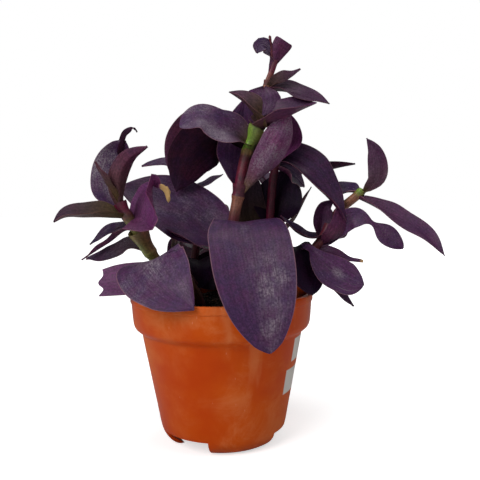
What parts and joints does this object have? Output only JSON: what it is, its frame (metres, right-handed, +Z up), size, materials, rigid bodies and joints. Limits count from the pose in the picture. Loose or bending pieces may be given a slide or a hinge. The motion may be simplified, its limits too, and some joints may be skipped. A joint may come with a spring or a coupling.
{
  "type": "potted tradescantia",
  "caption": "Purple-leaved tradescantia with arching, folded leaves on several shoots, rooted in soil in a tapered terracotta-coloured plastic nursery pot.",
  "frame": {"origin": "centre of the pot's base, on the surface that the pot stands on", "axes": "+Z up, +X to the right in the picture, +Y away from the picture's viewer"},
  "size_m": [0.2154, 0.141, 0.2331],
  "materials": {
    "pot": "satin moulded plastic, terracotta orange, lightly scuffed",
    "soil": "rough, moist potting soil with fine crumbs",
    "leaf": "satin living leaf, deep purple above and magenta below, with fine lengthwise veins"
  },
  "bodies": {
    "root": {"pot": "pot", "soil": "soil", "stem_main": "leaf", "stem_left": "leaf", "stem_front_left": "leaf", "stem_right": "leaf", "stem_back_centre": "leaf", "stem_back_left": "leaf", "stem_back_right": "leaf"}
  },
  "joints": []
}
